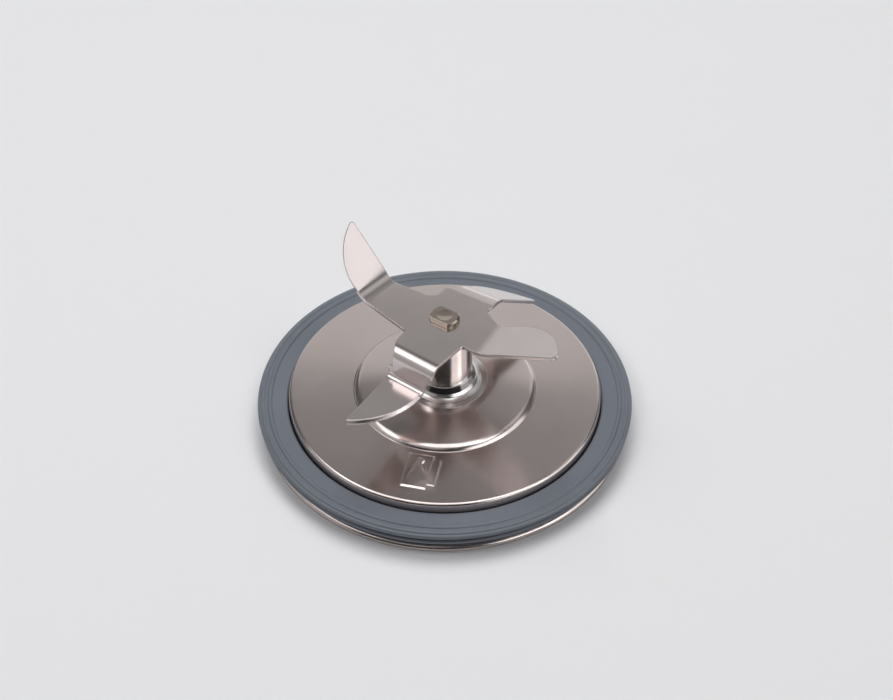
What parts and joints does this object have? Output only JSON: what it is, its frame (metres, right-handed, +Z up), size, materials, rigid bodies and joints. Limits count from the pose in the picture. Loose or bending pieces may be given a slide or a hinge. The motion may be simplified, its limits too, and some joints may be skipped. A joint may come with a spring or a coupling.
{
  "type": "blender blade assembly",
  "caption": "Blade unit of a jug blender: round pressed steel base with a ribbed seal ring and a bent cutting blade on a spindle that turns in plain bearings.",
  "frame": {"origin": "on the spindle's axis, at the level of the flange's foot", "axes": "+Z up along the spindle, from the coupling to the blade; -Y towards the viewer of the picture"},
  "size_m": [0.105, 0.105, 0.0536],
  "materials": {
    "satin_steel": "satin",
    "blade_steel": "satin",
    "polished_steel": "polished",
    "spindle_steel": "satin, straw tint on the flats",
    "turned_steel": "turned",
    "zinc_steel": "zinc plated",
    "grey_silicone": "matt",
    "dark_rubber": "matt",
    "bronze": "sintered",
    "felt": "matt",
    "white_nylon": "matt",
    "black_moulding": "matt"
  },
  "bodies": {
    "base": {"top_plate": "satin_steel", "seal_ring": "grey_silicone", "bearing_housing": "turned_steel", "housing_gasket": "dark_rubber", "plain_washer": "zinc_steel", "lock_washer": "zinc_steel", "housing_nut": "zinc_steel", "upper_bush": "bronze", "lower_bush": "bronze", "oil_wick": "felt", "shaft_seal": "dark_rubber"},
    "rotor": {"spindle": "spindle_steel", "blade": "blade_steel", "blade_collar": "polished_steel", "upper_thrust_washer": "white_nylon", "lower_thrust_washer": "white_nylon", "shim_washer": "zinc_steel", "coupling_insert": "turned_steel", "drive_coupling": "black_moulding", "coupling_screw": "zinc_steel"}
  },
  "joints": [
    {"name": "spindle_turn", "type": "hinge", "parent": "base", "child": "rotor", "pos_m": [0, 0, 0.02], "axis": [0, 0, 1], "continuous": true}
  ]
}
